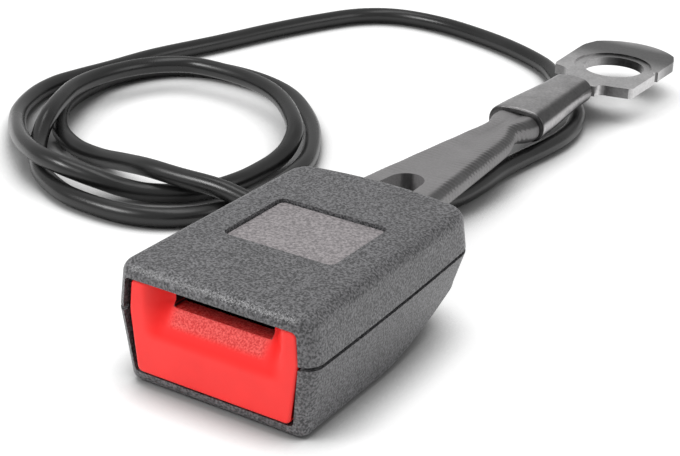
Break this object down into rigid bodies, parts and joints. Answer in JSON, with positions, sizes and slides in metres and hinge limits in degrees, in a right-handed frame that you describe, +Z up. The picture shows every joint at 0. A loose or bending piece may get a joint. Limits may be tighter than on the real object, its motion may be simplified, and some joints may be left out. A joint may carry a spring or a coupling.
{
  "type": "seat belt buckle",
  "caption": "Seat belt buckle with a red press button, on a wire-rope stalk with a crimped anchor plate and a coiled reminder-switch lead.",
  "frame": {"origin": "middle of the flat face under the front of the housing, which the buckle rests on", "axes": "+Z up, +Y from the press button along the stalk to the anchor plate, +X to the right seen from the press button's side"},
  "size_m": [0.1821, 0.2574, 0.0292],
  "materials": {
    "black_plastic": "fine grained, satin",
    "sleeve_plastic": "matte, fine grained",
    "red_plastic": "satin gloss with a textured scoop floor",
    "satin_label": "satin grey, bare",
    "white_plastic": "natural acetal",
    "plated_steel": "zinc plated, satin",
    "spring_steel": "drawn wire",
    "cord_jacket": "semi-matte",
    "brown_wire": "insulated wire",
    "tinned_brass": "tinned"
  },
  "bodies": {
    "housing": {"upper_cover": "black_plastic", "lower_cover": "black_plastic", "label_plate": "satin_label", "base_frame": "plated_steel", "latch_pin": "plated_steel", "latch_spring": "spring_steel", "switch_body": "black_plastic", "switch_lead_1": "brown_wire", "switch_lead_2": "brown_wire", "wire_rope": "plated_steel", "stalk_sleeve": "sleeve_plastic", "cable_saddle": "plated_steel", "saddle_rivet": "plated_steel", "ferrule": "plated_steel", "anchor_plate": "plated_steel", "cord_grommet": "cord_jacket", "cord": "cord_jacket", "connector_body": "black_plastic", "connector_terminal_1": "tinned_brass", "connector_terminal_2": "tinned_brass", "button_spring_left": "spring_steel", "button_spring_right": "spring_steel", "ejector_spring": "spring_steel"},
    "button": {"press_button": "red_plastic", "lock_pin": "plated_steel"},
    "latch": {"latch": "plated_steel"},
    "ejector": {"ejector": "white_plastic"},
    "plunger": {"switch_plunger": "white_plastic"}
  },
  "joints": [
    {"name": "button_press", "type": "slide", "parent": "housing", "child": "button", "axis": [0, 1, 0], "range_m": [0, 0.005], "stiffness_N_per_m": 400, "springref_m": -0.004, "deforming": ["button_spring_left", "button_spring_right"]},
    {"name": "ejector_slide", "type": "slide", "parent": "housing", "child": "ejector", "axis": [0, 1, 0], "range_m": [0, 0.008], "stiffness_N_per_m": 300, "springref_m": -0.004, "deforming": ["ejector_spring"]},
    {"name": "latch_swing", "type": "hinge", "parent": "housing", "child": "latch", "pos_m": [0, 0.025, 0.0134], "axis": [-1, 0, 0], "range_deg": [0, 9.5]},
    {"name": "plunger_slide", "type": "slide", "parent": "housing", "child": "plunger", "axis": [-1, 0, 0], "range_m": [0, 0.0013]}
  ],
  "couplings": [
    {"joint": "latch_swing", "follows": "ejector_slide", "rad_per_m": 20.7},
    {"joint": "plunger_slide", "follows": "ejector_slide", "ratio": 0.15}
  ]
}
